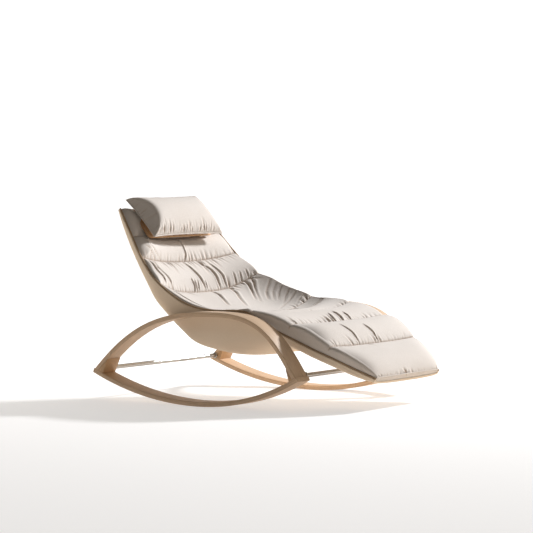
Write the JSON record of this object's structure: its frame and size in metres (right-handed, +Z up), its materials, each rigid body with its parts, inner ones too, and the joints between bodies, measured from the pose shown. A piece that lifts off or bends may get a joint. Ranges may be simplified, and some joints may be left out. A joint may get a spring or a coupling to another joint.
{
  "type": "rocking chaise lounge",
  "caption": "Rocking chaise lounge: a moulded reclining shell with quilted mattress and loose head pillow, carried between bent-wood arches that stand on curved rockers tied by chromed rods.",
  "frame": {"origin": "on the floor, below the middle of the overall length and width", "axes": "+X towards the foot end, +Y towards the left hand of someone who lies in it, +Z up"},
  "size_m": [1.4964, 0.82, 0.9085],
  "materials": {
    "frame_wood": "satin",
    "block_wood": "satin",
    "rod_chrome": "polished",
    "screw_steel": "zinc plated",
    "insert_brass": "plain",
    "spacer": "matte",
    "shell": "smooth tight cover",
    "piping": "matte",
    "mattress": "soft woven",
    "foam": "open foam",
    "backing_leather": "smooth",
    "pillow": "soft woven"
  },
  "bodies": {
    "chaise": {"rocker_left": "frame_wood", "arch_left": "frame_wood", "corner_block_head_left": "block_wood", "corner_block_foot_left": "block_wood", "joint_screw_rod_head_left": "screw_steel", "joint_screw_edge_head_left": "screw_steel", "rod_ferrule_head_left": "rod_chrome", "joint_screw_rod_foot_left": "screw_steel", "joint_screw_edge_foot_left": "screw_steel", "rod_ferrule_foot_left": "rod_chrome", "rim_piping_left": "piping", "shell_bolt_1_left": "screw_steel", "shell_spacer_1_left": "spacer", "threaded_insert_1_left": "insert_brass", "shell_bolt_2_left": "screw_steel", "shell_spacer_2_left": "spacer", "threaded_insert_2_left": "insert_brass", "shell_bolt_3_left": "screw_steel", "shell_spacer_3_left": "spacer", "threaded_insert_3_left": "insert_brass", "rocker_right": "frame_wood", "arch_right": "frame_wood", "corner_block_head_right": "block_wood", "corner_block_foot_right": "block_wood", "joint_screw_rod_head_right": "screw_steel", "joint_screw_edge_head_right": "screw_steel", "rod_ferrule_head_right": "rod_chrome", "joint_screw_rod_foot_right": "screw_steel", "joint_screw_edge_foot_right": "screw_steel", "rod_ferrule_foot_right": "rod_chrome", "rim_piping_right": "piping", "shell_bolt_1_right": "screw_steel", "shell_spacer_1_right": "spacer", "threaded_insert_1_right": "insert_brass", "shell_bolt_2_right": "screw_steel", "shell_spacer_2_right": "spacer", "threaded_insert_2_right": "insert_brass", "shell_bolt_3_right": "screw_steel", "shell_spacer_3_right": "spacer", "threaded_insert_3_right": "insert_brass", "cross_rod_head": "rod_chrome", "cross_rod_foot": "rod_chrome", "seat_shell": "shell", "seat_cushion": "mattress", "leg_cushion": "mattress", "seat_foam": "foam"},
    "headrest": {"head_pillow": "pillow", "pillow_backing": "backing_leather"}
  },
  "joints": [
    {"name": "headrest_slide", "type": "slide", "parent": "chaise", "child": "headrest", "axis": [0.6342, 0, -0.7731], "range_m": [-0.03, 0.03]}
  ]
}
